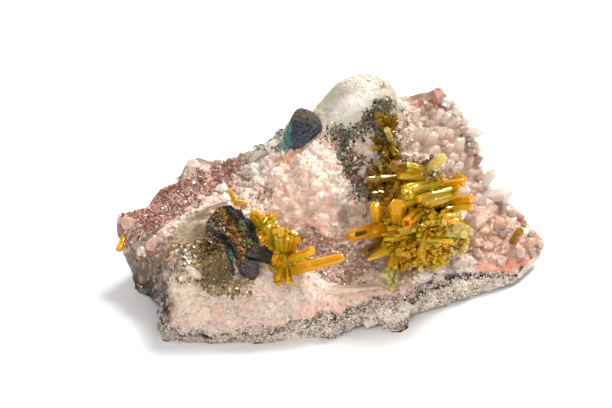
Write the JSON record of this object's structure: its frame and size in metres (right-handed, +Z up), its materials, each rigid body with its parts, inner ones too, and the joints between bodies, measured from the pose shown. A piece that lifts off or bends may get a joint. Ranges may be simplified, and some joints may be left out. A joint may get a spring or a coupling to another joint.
{
  "type": "mimetite crystal specimen",
  "caption": "Amber six-sided mimetite crystal sprays on a broken block of pink and white quartz over grey host rock, with brown gossan and dark ore pods; rests on its rough flat underside.",
  "frame": {"origin": "on the surface the specimen rests on, under the middle of its footprint", "axes": "+X to the right along the longest side as the crystals are looked at, -Y toward the viewer of the crystal face, +Z up"},
  "size_m": [0.051, 0.0295, 0.0224],
  "materials": {
    "quartz": "satin",
    "mimetite": "gloss",
    "gossan": "matte",
    "ore": "satin"
  },
  "bodies": {
    "root": {"matrix": "quartz", "mimetite_cluster": "mimetite", "mimetite_spray": "mimetite", "mimetite_crest": "mimetite", "mimetite_right_stub": "mimetite", "mimetite_left_tip": "mimetite", "mimetite_blade_long": "mimetite", "mimetite_blade_short": "mimetite", "ore_pod_upper": "ore", "ore_pod_left": "ore", "ore_pod_small": "ore", "ore_streak": "ore", "gossan": "gossan"}
  },
  "joints": []
}
